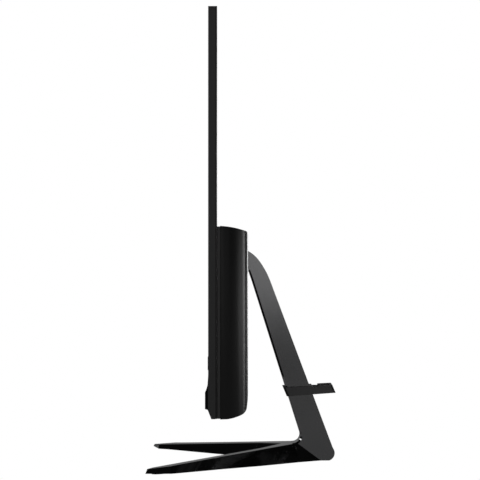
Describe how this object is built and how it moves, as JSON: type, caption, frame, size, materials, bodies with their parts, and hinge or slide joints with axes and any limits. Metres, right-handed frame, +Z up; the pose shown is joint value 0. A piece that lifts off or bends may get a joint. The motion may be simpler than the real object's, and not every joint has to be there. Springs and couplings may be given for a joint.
{
  "type": "all in one pc",
  "caption": "Slim all-in-one desktop computer: a thin display with a speaker bar and a deep rear housing, tilting on a bent bar stand that splits into a V-shaped foot.",
  "frame": {"origin": "middle of the floor rectangle under the whole object, on the floor", "axes": "+X to the right seen from the front, the screen faces -Y, +Z up"},
  "size_m": [0.541, 0.187, 0.4312],
  "materials": {
    "stand_paint": "fine satin black powder coat",
    "rubber": "matt",
    "steel": "zinc plated",
    "clip_plastic": "fine moulded texture",
    "bezel_plastic": "fine moulded texture",
    "screen": "dark glass with an anti-glare film",
    "sheet_white": "translucent film",
    "light_plate": "clear acrylic",
    "tray_metal": "satin",
    "cover_plastic": "fine moulded texture",
    "trim_plastic": "satin moulded",
    "grille_metal": "satin black",
    "speaker_plastic": "matt",
    "board": "solder mask over glass fibre",
    "chip": "moulded resin",
    "copper": "copper, satin",
    "fin_metal": "mill finish",
    "port_metal": "nickel plated",
    "lens": "dark coated glass",
    "cable": "amber film"
  },
  "bodies": {
    "stand": {"stand_frame": "stand_paint", "front_left_pad": "rubber", "front_right_pad": "rubber", "rear_pad": "rubber", "hinge_shaft": "steel", "friction_washers": "steel", "hinge_nuts": "steel"},
    "clip": {"cable_clip": "clip_plastic"},
    "power_button": {"power_button": "bezel_plastic"},
    "shutter": {"webcam_shutter": "bezel_plastic"},
    "blower": {"blower_rotor": "speaker_plastic"},
    "display": {"antennas": "cable", "backlight_tray": "tray_metal", "blower_housing": "speaker_plastic", "board_screws": "steel", "board_standoffs": "steel", "bracket_screws": "steel", "chassis_plate": "tray_metal", "chin_cover": "bezel_plastic", "coin_cell": "steel", "diffuser_sheets": "sheet_white", "display_cable": "cable", "door_screw": "steel", "drive_bracket": "steel", "fin_stack": "fin_metal", "front_bezel": "bezel_plastic", "hard_drive": "tray_metal", "hdmi_port": "port_metal", "headphone_jack": "speaker_plastic", "heat_pipe": "copper", "heat_plate": "copper", "hinge_bracket": "steel", "housing_screws": "steel", "lcd_panel": "screen", "led_strip": "sheet_white", "left_grille": "grille_metal", "left_speaker": "speaker_plastic", "light_guide": "light_plate", "mainboard": "board", "memory_door": "cover_plastic", "memory_modules": "board", "microphones": "chip", "network_port": "port_metal", "panel_rear_cover": "cover_plastic", "port_plate": "port_metal", "power_inlet": "speaker_plastic", "processor": "chip", "rear_housing": "cover_plastic", "right_grille": "grille_metal", "right_speaker": "speaker_plastic", "seam_strip": "trim_plastic", "solid_state_drive": "board", "switch_board": "board", "usb_ports": "port_metal", "webcam_board": "board", "webcam_lens": "lens", "wireless_card": "board"}
  },
  "joints": [
    {"name": "display_tilt", "type": "hinge", "parent": "stand", "child": "display", "pos_m": [0, -0.01, 0.2045], "axis": [-1, 0, 0], "range_deg": [-5, 20]},
    {"name": "clip_slide", "type": "slide", "parent": "stand", "child": "clip", "axis": [0, -0.3004, 0.9538], "range_m": [0, 0.04]},
    {"name": "power_press", "type": "slide", "parent": "display", "child": "power_button", "axis": [0, 0, 1], "range_m": [0, 0.0009], "stiffness_N_per_m": 300},
    {"name": "shutter_slide", "type": "slide", "parent": "display", "child": "shutter", "axis": [-1, 0, 0], "range_m": [0, 0.0092]},
    {"name": "blower_spin", "type": "hinge", "parent": "display", "child": "blower", "pos_m": [0.092, -0.015, 0.172], "axis": [0, 1, 0], "continuous": true}
  ]
}
